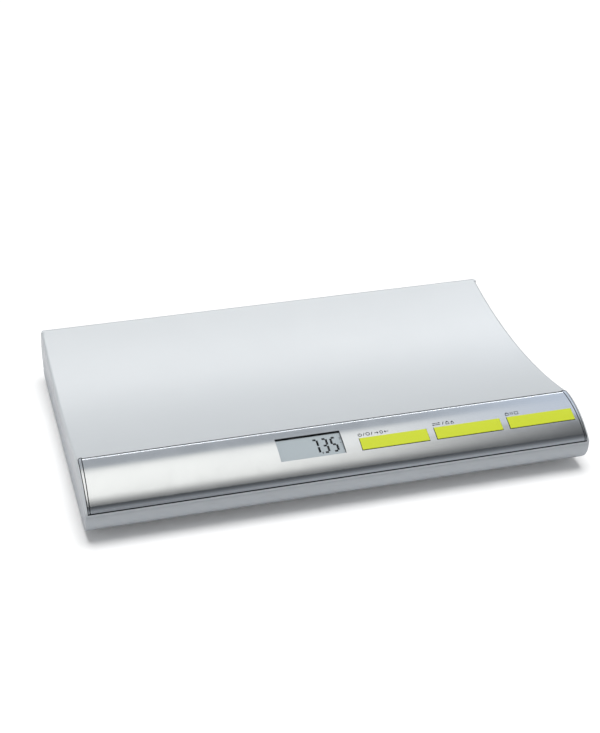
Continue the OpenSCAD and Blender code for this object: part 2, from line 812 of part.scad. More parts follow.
module contacts_front() { color([0.8, 0.8, 0.78]) contacts(-1); }
module contacts_rear() { color([0.8, 0.8, 0.78]) contacts(1); }

// Foot: a disc below, a boss that carries the load cell's tongue and a spigot through its hole
module foot(i) {
    translate([foot_places[i].x, foot_places[i].y, 0]) difference() {
        union() {
            translate([0, 0, pad_t / 2]) cylinder(r = foot_r, h = foot_h - pad_t / 2);
            cylinder(r = boss_r, h = cell_h);
            cylinder(r = spigot_r, h = cell_h + cell_t + 0.8, $fn = 32);
        }
        translate([0, 0, -1]) cylinder(r = pad_r + fit_gap, h = pad_t + 1);
    }
}

module foot_front_left() { color([0.78, 0.8, 0.82]) foot(0); }
module foot_front_right() { color([0.78, 0.8, 0.82]) foot(1); }
module foot_rear_left() { color([0.78, 0.8, 0.82]) foot(2); }
module foot_rear_right() { color([0.78, 0.8, 0.82]) foot(3); }

// Rubber pad, dished by shallow rings for grip
module pad(i) {
    translate([foot_places[i].x, foot_places[i].y, 0]) difference() {
        cylinder(r = pad_r, h = pad_t);
        for (r = [5, 9, 13]) translate([0, 0, -1]) difference() {
            cylinder(r = r + 0.6, h = 1.4);
            translate([0, 0, -1]) cylinder(r = r - 0.6, h = 4);
        }
    }
}

module pad_front_left() { color([0.3, 0.3, 0.31]) pad(0); }
module pad_front_right() { color([0.3, 0.3, 0.31]) pad(1); }
module pad_rear_left() { color([0.3, 0.3, 0.31]) pad(2); }
module pad_rear_right() { color([0.3, 0.3, 0.31]) pad(3); }

// Load cell: a square steel plate whose tongue, cut free by a slot, bends under the foot
module load_cell(i) {
    slot = 1.6;
    tongue_half = 7;
    reach = 11;
    translate([foot_places[i].x, foot_places[i].y, 0]) difference() {
        union() {
            slab(cell_w, cell_w, cell_h, cell_h + cell_t);
            translate([0, -reach + 2, 0]) slab(5, 4, cell_h + cell_t - eps, cell_h + cell_t + 0.5);
        }
        difference() {
            translate([-tongue_half - slot, -reach, cell_h - 1]) cube([2 * (tongue_half + slot), 2 * reach, 10]);
            translate([-tongue_half, -reach - 1, cell_h - 2]) cube([2 * tongue_half, 2 * reach + 1 - slot, 12]);
        }
        translate([0, 0, cell_h - 1]) cylinder(r = spigot_r + 0.2, h = 10, $fn = 32);
    }
}

module load_cell_front_left() { color([0.7, 0.71, 0.73]) load_cell(0); }
module load_cell_front_right() { color([0.7, 0.71, 0.73]) load_cell(1); }
module load_cell_rear_left() { color([0.7, 0.71, 0.73]) load_cell(2); }
module load_cell_rear_right() { color([0.7, 0.71, 0.73]) load_cell(3); }

// Ring that holds the load cell's rim up against the pocket's roof
module cell_ring(i) {
    translate([foot_places[i].x, foot_places[i].y, 0]) difference() {
        translate([0, 0, cell_h - ring_t]) cylinder(r = pocket_r - 0.3, h = ring_t);
        translate([0, 0, cell_h - ring_t - 1]) cylinder(r = cell_w / 2 - 3, h = ring_t + 2);
        for (s = [-1, 1]) translate([s * cell_screw_x, 0, cell_h - ring_t - 1])
            cylinder(r = small_r + fit_gap, h = ring_t + 2, $fn = 24);
    }
}

module cell_ring_front_left() { color([0.9, 0.9, 0.88]) cell_ring(0); }
module cell_ring_front_right() { color([0.9, 0.9, 0.88]) cell_ring(1); }
module cell_ring_rear_left() { color([0.9, 0.9, 0.88]) cell_ring(2); }
module cell_ring_rear_right() { color([0.9, 0.9, 0.88]) cell_ring(3); }

// Cross-head screw standing on its head, with the shank upwards
module screw(r, l, head_r, head_t) {
    difference() {
        union() {
            translate([0, 0, -head_t]) cylinder(r = head_r, h = head_t, $fn = 32);
            translate([0, 0, -eps]) cylinder(r = r, h = l + eps, $fn = 32);
        }
        for (a = [0, 90]) rotate([0, 0, a])
            translate([-head_r * 0.6, -head_r * 0.12, -head_t - 1]) cube([head_r * 1.2, head_r * 0.24, 1.8]);
    }
}

module housing_screws() {
    color([0.6, 0.6, 0.62]) for (p = boss_places)
        translate([p.x, p.y, screw_seat_h]) screw(screw_r, screw_l, screw_head_r, 2);
}

module board_screws() {
    color([0.6, 0.6, 0.62]) {
        on_console(window_a) for (p = display_screw_places)
            translate([p.x, p.y, board_low]) screw(small_r, 4.6, 2, 1.4);
        on_console(key_a) for (p = key_screw_places)
            translate([p.x, p.y, board_low]) screw(small_r, 4.6, 2, 1.4);
    }
}

module cell_screws() {
    color([0.6, 0.6, 0.62]) for (p = foot_places, s = [-1, 1])
        translate([p.x + s * cell_screw_x, p.y, cell_h - ring_t])
            screw(small_r, ring_t + cell_t + 2.4, 1.8, 1);
}

// A lead of radius r swept along points with six sides
module lead(points, r) {
    sides = 6;
    n = len(points);
    guide = [0.31, 0.17, 0.93];
    function heading(i) = let (a = points[max(i - 1, 0)], b = points[min(i + 1, n - 1)]) (b - a) / norm(b - a);
    rings = [for (i = [0:n - 1]) let (t = heading(i), u = cross(t, guide) / norm(cross(t, guide)), v = cross(t, u))
        for (k = [0:sides - 1]) points[i] + r * (u * cos(360 * k / sides) + v * sin(360 * k / sides))];
    skin = [for (i = [0:n - 2], k = [0:sides - 1], half = [0, 1])
        let (a = i * sides + k, b = i * sides + (k + 1) % sides)
        half == 0 ? [a, a + sides, b + sides] : [a, b + sides, b]];
    polyhedron(rings, concat([[for (k = [0:sides - 1]) k]], skin,
        [[for (k = [sides - 1:-1:0]) (n - 1) * sides + k]]));
}

// Each load cell's lead leaves its turret inwards, lies on the ribs and climbs to the display board.
// The two rear leads run in the lane behind the front ones and turn forward between them.
module cell_leads() {
    lanes = [0, 0, 1, 1];
    columns = [-1.5, 1.5, -0.5, 0.5];
    color([0.25, 0.25, 0.27]) for (i = [0:3]) {
        p = foot_places[i];
        in = -sign(p.x);
        way = -sign(p.y);
        y_out = p.y + way * lead_out;
        x_run = p.x + in * (turret_r + 1.5 * lead_bend);
        y_lane = lane_y + lanes[i] * lead_pitch;
        x_end = -window_x + columns[i] * lead_pitch;
        top = console_point(window_a, x_end, display_board_l / 2 - 2, board_low - 0.5);
        lead([
            [p.x + in * (tongue_room_r - lead_bend), y_out, pocket_top + 1],
            [p.x + in * turret_r, y_out, pocket_top + 1],
            [x_run - in * lead_bend / 2, y_out, lead_z],
            [x_run, y_out + way * lead_bend, lead_z],
            [x_run, y_lane - way * lead_bend, lead_z],
            [x_run + in * lead_bend, y_lane, lead_z],
            [x_end - in * lead_bend, y_lane, lead_z],
            [x_end, y_lane - lead_bend, lead_z],
            [x_end, top.y + 2 * lead_bend, lead_z + lead_bend],
            [x_end, top.y + lead_bend / 2, top.z - 3 * lead_bend],
            top
        ], lead_r);
    }
}

// The two battery leads leave the bay's front wall and pass over the lanes of the others
module battery_lead() {
    color([0.6, 0.1, 0.1]) for (s = [-1, 1]) {
        x0 = -bay_x + s * lead_pitch / 2;
        x1 = x0 + 2 * lead_bend;
        y0 = bay_y - bay_block_l / 2;
        z = lead_z + 3 * lead_r;
        top = console_point(window_a, x1, display_board_l / 2 - 2, board_low - 0.5);
        lead([
            [x0, y0 - 0.1, z],
            [x0, y0 - lead_bend, z],
            [x1, lane_y + 3 * lead_bend, z],
            [x1, top.y + 2 * lead_bend, z],
            [x1, top.y + lead_bend / 2, top.z - 3 * lead_bend],
            top
        ], lead_r);
    }
}

tray_shell();
base_housing();
console_panel();
display_window();
lcd_glass();
lcd_frame();
rubber_strips();
display_board();
display_chip();
key_board();
board_ribbon();
key_tare();
key_unit();
key_hold();
plunger_tare();
plunger_unit();
plunger_hold();
switch_tare();
switch_unit();
switch_hold();
battery_door();
battery_1();
battery_2();
battery_3();
battery_4();
contacts_front();
contacts_rear();
foot_front_left();
foot_front_right();
foot_rear_left();
foot_rear_right();
pad_front_left();
pad_front_right();
pad_rear_left();
pad_rear_right();
load_cell_front_left();
load_cell_front_right();
load_cell_rear_left();
load_cell_rear_right();
cell_ring_front_left();
cell_ring_front_right();
cell_ring_rear_left();
cell_ring_rear_right();
housing_screws();
board_screws();
cell_screws();
cell_leads();
battery_lead();
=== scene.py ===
import bpy
import bmesh
import json
from math import asin, atan2, cos, degrees, radians, sin
from mathutils import Matrix, Vector


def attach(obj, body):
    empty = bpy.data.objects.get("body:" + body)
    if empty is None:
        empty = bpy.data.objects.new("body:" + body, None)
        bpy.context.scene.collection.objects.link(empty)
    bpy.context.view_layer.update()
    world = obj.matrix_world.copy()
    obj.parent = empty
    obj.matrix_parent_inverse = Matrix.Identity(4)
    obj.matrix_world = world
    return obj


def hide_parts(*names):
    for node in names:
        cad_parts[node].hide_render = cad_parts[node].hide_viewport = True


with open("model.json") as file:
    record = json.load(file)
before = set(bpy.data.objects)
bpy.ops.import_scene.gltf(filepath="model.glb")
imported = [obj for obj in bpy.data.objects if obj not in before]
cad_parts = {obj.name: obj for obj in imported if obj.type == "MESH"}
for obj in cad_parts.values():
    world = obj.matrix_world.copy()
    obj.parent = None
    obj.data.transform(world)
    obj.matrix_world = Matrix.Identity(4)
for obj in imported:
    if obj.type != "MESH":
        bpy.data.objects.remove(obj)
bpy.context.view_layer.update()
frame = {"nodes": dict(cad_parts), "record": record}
print("frame loaded:", len(frame["nodes"]), "pieces from the construction model")

mm = 0.001
scene = bpy.context.scene
scene.view_settings.view_transform = "Standard"


# the camera, fitted to the outline of the body
viewFrom = {
    "place": (-401.37 * mm, -1466.37 * mm, 901.21 * mm),
    "turn": -15.277,
    "down": 28.557,
    "lens": 74.643,
    "sensor": 36,
    "nearest": 0.05,
    "farthest": 30,
}


def makeCamera(v):
    data = bpy.data.cameras.new("viewCamera")
    data.lens = v["lens"]
    data.sensor_width = v["sensor"]
    data.clip_start = v["nearest"]
    data.clip_end = v["farthest"]
    cam = bpy.data.objects.new("viewCamera", data)
    cam.location = v["place"]
    cam.rotation_euler = (radians(90 - v["down"]), 0, radians(v["turn"]))
    scene.collection.objects.link(cam)
    scene.camera = cam


makeCamera(viewFrom)
print("camera placed")


# small helpers for shader and geometry trees

def addNode(tree, kind, values=None, **settings):
    node = tree.nodes.new(kind)
    for key, value in settings.items():
        setattr(node, key, value)
    for key, value in (values or {}).items():
        node.inputs[key].default_value = value
    return node


def wire(tree, *pairs):
    for source, target in pairs:
        tree.links.new(source, target)


def newGroup(name, kind, inputs, outputs):
    tree = bpy.data.node_groups.new(name, kind)
    for label, socketType, default in inputs:
        socket = tree.interface.new_socket(label, in_out="INPUT", socket_type=socketType)
        if default is not None:
            socket.default_value = default
    for label, socketType in outputs:
        tree.interface.new_socket(label, in_out="OUTPUT", socket_type=socketType)
    return tree, tree.nodes.new("NodeGroupInput"), tree.nodes.new("NodeGroupOutput")


def calc(tree, operation, *terms):
    node = addNode(tree, "ShaderNodeMath", operation=operation)
    for i, term in enumerate(terms):
        if isinstance(term, (int, float)):
            node.inputs[i].default_value = term
        else:
            tree.links.new(term, node.inputs[i])
    return node.outputs[0]


# 0 below low, 1 above high, with a soft change between
def fade(tree, value, low, high):
    limits = {"From Min": low, "From Max": high}
    node = addNode(tree, "ShaderNodeMapRange", limits, interpolation_type="SMOOTHSTEP")
    tree.links.new(value, node.inputs["Value"])
    return node.outputs["Result"]


def mixColour(tree, factor, first, second):
    node = addNode(tree, "ShaderNodeMix", data_type="RGBA")
    tree.links.new(factor, node.inputs["Factor"])
    for key, term in (("A", first), ("B", second)):
        if isinstance(term, tuple):
            node.inputs[key].default_value = (*term, 1.0)
        else:
            tree.links.new(term, node.inputs[key])
    return node.outputs["Result"]


# moulded skin: fine spark-eroded grain, a slow drift of tone, and marks from handling
def mouldedSkinGroup():
    inputs = [
        ("Grain Scale", "NodeSocketFloat", 2200.0),
        ("Drift Scale", "NodeSocketFloat", 7.0),
        ("Drift", "NodeSocketFloat", 0.03),
        ("Rub Scale", "NodeSocketFloat", 24.0),
    ]
    outputs = [
        ("Tone", "NodeSocketFloat"),
        ("Rub", "NodeSocketFloat"),
        ("Height", "NodeSocketFloat"),
    ]
    tree, given, out = newGroup("mouldedSkin", "ShaderNodeTree", inputs, outputs)
    place = addNode(tree, "ShaderNodeTexCoord")
    grain = addNode(tree, "ShaderNodeTexNoise", {"Detail": 3.0, "Roughness": 0.6})
    drift = addNode(tree, "ShaderNodeTexNoise", {"Detail": 2.0, "Roughness": 0.5})
    rub = addNode(tree, "ShaderNodeTexNoise", {"Detail": 6.0, "Roughness": 0.65, "Distortion": 0.8})
    wire(
        tree,
        (place.outputs["Object"], grain.inputs["Vector"]),
        (place.outputs["Object"], drift.inputs["Vector"]),
        (place.outputs["Object"], rub.inputs["Vector"]),
        (given.outputs["Grain Scale"], grain.inputs["Scale"]),
        (given.outputs["Drift Scale"], drift.inputs["Scale"]),
        (given.outputs["Rub Scale"], rub.inputs["Scale"]),
    )
    centred = addNode(tree, "ShaderNodeMath", {1: 0.5}, operation="SUBTRACT")
    spread = addNode(tree, "ShaderNodeMath", operation="MULTIPLY")
    tone = addNode(tree, "ShaderNodeMath", {1: 1.0}, operation="ADD")
    rubMask = addNode(tree, "ShaderNodeMapRange", {"From Min": 0.38, "From Max": 0.72})
    wire(
        tree,
        (drift.outputs["Fac"], centred.inputs[0]),
        (centred.outputs[0], spread.inputs[0]),
        (given.outputs["Drift"], spread.inputs[1]),
        (spread.outputs[0], tone.inputs[0]),
        (tone.outputs[0], out.inputs["Tone"]),
        (rub.outputs["Fac"], rubMask.inputs["Value"]),
        (rubMask.outputs["Result"], out.inputs["Rub"]),
        (grain.outputs["Fac"], out.inputs["Height"]),
    )
    return tree


# metal flake in a clear lacquer: each small cell has its own tone and its own tilt
def metalFlakeGroup():
    inputs = [
        ("Flake Scale", "NodeSocketFloat", 2600.0),
        ("Sparkle", "NodeSocketFloat", 0.06),
    ]
    outputs = [("Tone", "NodeSocketFloat"), ("Height", "NodeSocketFloat")]
    tree, given, out = newGroup("metalFlake", "ShaderNodeTree", inputs, outputs)
    place = addNode(tree, "ShaderNodeTexCoord")
    cells = addNode(tree, "ShaderNodeTexVoronoi", feature="F1")
    grey = addNode(tree, "ShaderNodeSeparateColor")
    centred = addNode(tree, "ShaderNodeMath", {1: 0.5}, operation="SUBTRACT")
    spread = addNode(tree, "ShaderNodeMath", operation="MULTIPLY")
    tone = addNode(tree, "ShaderNodeMath", {1: 1.0}, operation="ADD")
    wire(
        tree,
        (place.outputs["Object"], cells.inputs["Vector"]),
        (given.outputs["Flake Scale"], cells.inputs["Scale"]),
        (cells.outputs["Color"], grey.inputs["Color"]),
        (grey.outputs["Red"], centred.inputs[0]),
        (centred.outputs[0], spread.inputs[0]),
        (given.outputs["Sparkle"], spread.inputs[1]),
        (spread.outputs[0], tone.inputs[0]),
        (tone.outputs[0], out.inputs["Tone"]),
        (grey.outputs["Green"], out.inputs["Height"]),
    )
    return tree


mouldedSkin = mouldedSkinGroup()
metalFlake = metalFlakeGroup()


def newMaterial(name, sockets):
    material = bpy.data.materials.new(name)
    material.use_nodes = True
    shader = material.node_tree.nodes["Principled BSDF"]
    for key, value in sockets.items():
        shader.inputs[key].default_value = value
    return material, material.node_tree, shader


# moulded plastic, plain or with metal powder in it
def plasticMaterial(name, look):
    sockets = {
        "Metallic": look.get("metallic", 0.0),
        "Coat Weight": look.get("coat", 0.0),
        "Coat Roughness": look.get("coatRoughness", 0.15),
        "Specular IOR Level": look.get("specular", 0.5),
    }
    material, tree, shader = newMaterial(name, sockets)
    skin = addNode(tree, "ShaderNodeGroup", node_tree=mouldedSkin)
    skin.inputs["Grain Scale"].default_value = look.get("grainScale", 2200.0)
    skin.inputs["Drift"].default_value = look.get("drift", 0.03)
    colour = addNode(tree, "ShaderNodeVectorMath", operation="SCALE")
    colour.inputs[0].default_value = look["colour"]
    plain, rubbed = look["roughness"], 0.04
    rough = addNode(
        tree, "ShaderNodeMapRange", {"To Min": plain - rubbed, "To Max": plain + rubbed}
    )
    grain = {"Strength": look.get("grain", 0.12), "Distance": 0.02 * mm}
    bump = addNode(tree, "ShaderNodeBump", grain)
    wire(
        tree,
        (skin.outputs["Tone"], colour.inputs["Scale"]),
        (colour.outputs["Vector"], shader.inputs["Base Color"]),
        (skin.outputs["Rub"], rough.inputs["Value"]),
        (rough.outputs["Result"], shader.inputs["Roughness"]),
        (skin.outputs["Height"], bump.inputs["Height"]),
        (bump.outputs["Normal"], shader.inputs["Normal"]),
    )
    return material


# silver lacquer over plastic
def lacquerMaterial(name, look):
    sockets = {
        "Metallic": look["metallic"],
        "Coat Weight": look["coat"],
        "Coat Roughness": look["coatRoughness"],
        "Coat IOR": 1.5,
    }
    material, tree, shader = newMaterial(name, sockets)
    flake = addNode(tree, "ShaderNodeGroup", node_tree=metalFlake)
    flake.inputs["Flake Scale"].default_value = look["flakeScale"]
    flake.inputs["Sparkle"].default_value = look["sparkle"]
    skin = addNode(tree, "ShaderNodeGroup", node_tree=mouldedSkin)
    skin.inputs["Drift"].default_value = look["drift"]
    colour = addNode(tree, "ShaderNodeVectorMath", operation="SCALE")
    colour.inputs[0].default_value = look["colour"]
    tone = addNode(tree, "ShaderNodeMath", operation="MULTIPLY")
    plain, polished, rubbed = look["roughness"], 0.02, 0.03
    rough = addNode(
        tree, "ShaderNodeMapRange", {"To Min": plain - polished, "To Max": plain + rubbed}
    )
    bump = addNode(tree, "ShaderNodeBump", {"Strength": 0.06, "Distance": 0.01 * mm})
    wire(
        tree,
        (flake.outputs["Tone"], tone.inputs[0]),
        (skin.outputs["Tone"], tone.inputs[1]),
        (tone.outputs[0], colour.inputs["Scale"]),
        (colour.outputs["Vector"], shader.inputs["Base Color"]),
        (skin.outputs["Rub"], rough.inputs["Value"]),
        (rough.outputs["Result"], shader.inputs["Roughness"]),
        (flake.outputs["Height"], bump.inputs["Height"]),
        (bump.outputs["Normal"], shader.inputs["Normal"]),
    )
    return material


# the clear window: light on its way to and from the display passes straight through it
def windowMaterial(name, look):
    sockets = {
        "Base Color": (*look["colour"], 1.0),
        "Transmission Weight": 1.0,
        "Roughness": 0.02,
        "IOR": look["ior"],
    }
    material, tree, shader = newMaterial(name, sockets)
    through = addNode(tree, "ShaderNodeBsdfTransparent")
    path = addNode(tree, "ShaderNodeLightPath")
    straight = calc(tree, "MAXIMUM", path.outputs["Is Shadow Ray"], path.outputs["Is Diffuse Ray"])
    mix = addNode(tree, "ShaderNodeMixShader")
    out = tree.nodes["Material Output"]
    wire(
        tree,
        (straight, mix.inputs["Fac"]),
        (shader.outputs["BSDF"], mix.inputs[1]),
        (through.outputs["BSDF"], mix.inputs[2]),
        (mix.outputs["Shader"], out.inputs["Surface"]),
    )
    return material


finishes = {
    "tray": plasticMaterial(
        "trayPlastic",
        {
            "colour": (0.605, 0.638, 0.662),
            "roughness": 0.34,
            "grain": 0.10,
            "coat": 0.7,
            "coatRoughness": 0.2,
            "drift": 0.02,
        },
    ),
    "housing": plasticMaterial(
        "housingPlastic",
        {"colour": (0.55, 0.58, 0.61), "roughness": 0.34, "coat": 0.4, "coatRoughness": 0.2},
    ),
    "console": lacquerMaterial(
        "consoleLacquer",
        {
            "colour": (0.70, 0.73, 0.76),
            "metallic": 1.0,
            "roughness": 0.22,
            "coat": 0.2,
            "coatRoughness": 0.08,
            "flakeScale": 2600.0,
            "sparkle": 0.05,
            "drift": 0.02,
        },
    ),
    "lime": plasticMaterial(
        "limePlastic",
        {"colour": (0.615, 0.70, 0.034), "roughness": 0.36, "grain": 0.16},
    ),
    "window": windowMaterial("clearWindow", {"colour": (0.97, 0.985, 0.99), "ior": 1.14}),
    "lcd": plasticMaterial(
        "displayGlass",
        {
            "colour": (0.45, 0.50, 0.53),
            "roughness": 0.3,
            "grain": 0.03,
            "grainScale": 5200.0,
            "specular": 0.1,
        },
    ),
    # painted shade: a near-black colour for faces that only show inside seams, where shade falls
    "paintedSeamShade": plasticMaterial(
        "seamShade", {"colour": (0.018, 0.02, 0.024), "roughness": 0.6, "specular": 0.2}
    ),
    "ink": plasticMaterial(
        "signInk",
        {"colour": (0.012, 0.014, 0.017), "roughness": 0.5, "grain": 0.05, "specular": 0.1},
    ),
    "black": plasticMaterial("blackPlastic", {"colour": (0.022, 0.023, 0.026), "roughness": 0.5}),
    "rubber": plasticMaterial(
        "padRubber", {"colour": (0.045, 0.046, 0.05), "roughness": 0.75, "grain": 0.4}
    ),
    "board": plasticMaterial(
        "boardGreen", {"colour": (0.02, 0.16, 0.06), "roughness": 0.3, "coat": 0.5}
    ),
    "film": plasticMaterial("ribbonFilm", {"colour": (0.5, 0.5, 0.51), "roughness": 0.35}),
    "steel": plasticMaterial(
        "pressedSteel", {"colour": (0.55, 0.56, 0.58), "roughness": 0.3, "metallic": 1.0}
    ),
    "sleeve": plasticMaterial("leadSleeve", {"colour": (0.05, 0.05, 0.055), "roughness": 0.55}),
    "cell": plasticMaterial(
        "batterySleeve", {"colour": (0.05, 0.06, 0.08), "roughness": 0.3, "coat": 0.5}
    ),
}
print("materials built:", len(finishes))


finishOfSlot = {
    "tray_plastic": "tray",
    "base_plastic": "housing",
    "console_silver": "console",
    "clear_window": "window",
    "lcd_glass": "lcd",
    "black_plastic": "black",
    "black_rubber": "rubber",
    "circuit_board": "board",
    "ribbon_film": "film",
    "lime_plastic": "lime",
    "switch_metal": "steel",
    "battery_skin": "cell",
    "contact_plate": "steel",
    "foot_plastic": "housing",
    "pad_rubber": "rubber",
    "cell_steel": "steel",
    "screw_steel": "steel",
    "lead_sleeve": "sleeve",
}
slotOfNode = {part["node"]: part["material_slot"] for part in frame["record"]["subparts"]}


def dress(piece, finish):
    piece.data.materials.clear()
    piece.data.materials.append(finishes[finish])


for nodeName, node in frame["nodes"].items():
    dress(node, finishOfSlot[slotOfNode[nodeName]])


# the console's side view, as the construction model has it
console = {
    "centre": (-121.5 * mm, -26.0 * mm),
    "radius": 95.0 * mm,
    "noseCentre": (-176.0 * mm, 40.53 * mm),
    "noseRadius": 9.0 * mm,
    "front": -185.0 * mm,
    "grooveMiddle": 268.0 * mm,
    "seatEnd": 272.55 * mm,
    "seatRear": -121.4 * mm,
    "seatFloor": 36.0 * mm,
    "joint": 39.0 * mm,
    "windowTilt": degrees(asin(31.0 / 95.0)),
    "windowMiddle": -31.0 * mm,
    "keyTilt": degrees(asin(38.3 / 95.0)),
    "keyLeft": {"tare": 22.4 * mm, "unit": 106.0 * mm, "hold": 189.6 * mm},
    "keyShade": 0.14 * mm,
}


# depth below the console's skin and the direction straight out of it, at a point of the side view
def underSkin(y, z):
    cy, cz = console["centre"]
    ny, nz = console["noseCentre"]
    lean = degrees(atan2(z - cz, y - cy))
    if lean <= degrees(atan2(nz - cz, ny - cy)):
        out = Vector((y - cy, z - cz))
        return console["radius"] - out.length, out.normalized()
    if z > nz:
        out = Vector((y - ny, z - nz))
        return console["noseRadius"] - out.length, out.normalized()
    return y - console["front"], Vector((-1.0, 0.0))


# a flat patch of the console: x to the right, y up the slope, z straight out
def slopeFrame(tilt):
    cy, cz = console["centre"]
    return (
        Matrix.Translation((0, cy, cz))
        @ Matrix.Rotation(radians(tilt), 4, "X")
        @ Matrix.Translation((0, 0, console["radius"]))
    )


def cutAcross(work, place, normal):
    everything = work.verts[:] + work.edges[:] + work.faces[:]
    bmesh.ops.bisect_plane(work, geom=everything, plane_co=place, plane_no=normal)


# where the dressed panel departs from the construction model: its rear edge is turned down, its
# lower edge is raised, and the bead at each end narrows towards the nose
panel = {
    "easing": 0.25 * mm,
    "skinDepth": 0.1 * mm,
    "wallDepth": 2.45 * mm,
    "turnFrom": -124.2 * mm,
    "rearEdge": -122.35 * mm,
    "rearEnd": 267.65 * mm,
    "turnDown": 1.15 * mm,
    "lowerEdge": 39.9 * mm,
    "lift": 0.7 * mm,
    "grooveHalf": 1.2 * mm,
    "grooveSides": 0.8 * mm,
    "grooveBed": 0.4 * mm,
    "shiftAtTop": 0.2,
    "shiftToNose": 1.7,
    "noseLean": (90, 130),
}


def grooveShift(point):
    cy, cz = console["centre"]
    lean = degrees(atan2(point.z - cz, point.y - cy))
    top, nose = panel["noseLean"]
    share = min(max((lean - top) / (nose - top), 0), 1)
    return (panel["shiftAtTop"] + panel["shiftToNose"] * share) * mm


def openPanelSeams(work):
    cutAcross(work, (0, panel["turnFrom"], 0), (0, 1, 0))
    for vert in work.verts:
        atEdge = vert.co.y > panel["rearEdge"] and abs(vert.co.x) < panel["rearEnd"]
        if atEdge and underSkin(vert.co.y, vert.co.z)[0] < panel["skinDepth"]:
            vert.co.z -= panel["turnDown"]
        if underSkin(vert.co.y, vert.co.z)[0] >= panel["wallDepth"]:
            continue
        if abs(abs(vert.co.x) - console["grooveMiddle"]) < panel["grooveHalf"]:
            vert.co.x += grooveShift(vert.co) * (1 if vert.co.x > 0 else -1)
        if vert.co.z < panel["lowerEdge"]:
            vert.co.z += panel["lift"]


# faces painted in shade, as they only show inside dark seams: the deck under the panel, and the
# walls of every opening
# painted shade on the tray's deck under the panel, seen through the gap at its edges
def trayInPaintedShade(centre, normal):
    if abs(centre.x) > console["seatEnd"]:
        return False
    if centre.y > console["seatRear"] or centre.z < console["seatFloor"]:
        return False
    return underSkin(centre.y, centre.z)[0] > 0.6 * mm


# painted shade on the base's top face at the joint, seen through the gap under the panel
def baseInPaintedShade(centre, normal):
    return normal.z > 0.9 and abs(centre.z - console["joint"]) < 0.05 * mm


# painted shade on the walls of the window and key openings and on the bed of each end groove
def panelInPaintedShade(centre, normal):
    out = underSkin(centre.y, centre.z)[1]
    fromGroove = abs(abs(centre.x) - console["grooveMiddle"] - grooveShift(centre))
    if fromGroove < panel["grooveSides"]:
        return fromGroove < panel["grooveBed"] and abs(normal.x) < 0.3
    return abs(out.x * normal.y + out.y * normal.z) < 0.35


# painted shade on each key's sides below a plane just over the panel's skin
def keyInPaintedShade(centre, normal):
    return (slopeFrame(console["keyTilt"]).inverted() @ centre).z < console["keyShade"]


def applyModifiers(piece):
    graph = bpy.context.evaluated_depsgraph_get()
    mesh = bpy.data.meshes.new_from_object(piece.evaluated_get(graph))
    piece.modifiers.clear()
    piece.data = mesh


smoothing = {
    "merge": 0.002 * mm,
    "flat": radians(0.3),
    "easedFrom": radians(40),
    "sharpFrom": radians(32),
    "weight": 90,
}


# a merged, smoothed copy of a construction piece, with its edges eased and painted shade on the
# faces that sit in its seams
def easedCopy(nodeName, body, easing, inPaintedShade=None, cut=None, reshape=None):
    mesh = frame["nodes"][nodeName].data.copy()
    mesh.name = nodeName + "Eased"
    piece = bpy.data.objects.new(nodeName + "Eased", mesh)
    scene.collection.objects.link(piece)
    work = bmesh.new()
    work.from_mesh(mesh)
    bmesh.ops.remove_doubles(work, verts=work.verts, dist=smoothing["merge"])
    bmesh.ops.dissolve_limit(
        work,
        angle_limit=smoothing["flat"],
        verts=work.verts,
        edges=work.edges,
        delimit={"NORMAL"},
    )
    if reshape:
        reshape(work)
    work.to_mesh(mesh)
    work.free()
    if easing:
        bevel = piece.modifiers.new("easing", "BEVEL")
        bevel.width = easing
        bevel.segments = 2
        bevel.limit_method = "ANGLE"
        bevel.angle_limit = smoothing["easedFrom"]
        applyModifiers(piece)
    if cut:
        work = bmesh.new()
        work.from_mesh(piece.data)
        cutAcross(work, *cut)
        work.to_mesh(piece.data)
        work.free()
    piece.data.polygons.foreach_set("use_smooth", [True] * len(piece.data.polygons))
    piece.data.set_sharp_from_angle(angle=smoothing["sharpFrom"])
    weighted = piece.modifiers.new("weighted", "WEIGHTED_NORMAL")
    weighted.keep_sharp = True
    weighted.weight = smoothing["weight"]
    applyModifiers(piece)
    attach(piece, body)
    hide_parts(nodeName)
    dress(piece, finishOfSlot[slotOfNode[nodeName]])
    # faces picked by the mask get the painted shade
    if inPaintedShade:
        piece.data.materials.append(finishes["paintedSeamShade"])
        for face in piece.data.polygons:
            face.material_index = 1 if inPaintedShade(face.center, face.normal) else 0
    return piece


easedCopy("tray_shell", "body", 0, trayInPaintedShade)
easedCopy("base_housing", "body", 0, baseInPaintedShade)
easedCopy("console_panel", "body", panel["easing"], panelInPaintedShade, reshape=openPanelSeams)
# the plane across the keys below which they are painted in shade
keyPatch = slopeFrame(console["keyTilt"])
keyCut = (
    keyPatch @ Vector((0, 0, console["keyShade"])),
    keyPatch.to_3x3() @ Vector((0, 0, 1)),
)
for key in console["keyLeft"]:
    easedCopy("key_" + key, "key_" + key, 0.3 * mm, keyInPaintedShade, keyCut)
easedCopy("battery_door", "battery_door", 0.3 * mm)
for corner in ("front_left", "front_right", "rear_left", "rear_right"):
    easedCopy("foot_" + corner, "body", 0.4 * mm)
    easedCopy("pad_" + corner, "body", 0.2 * mm)
print("main pieces in place")


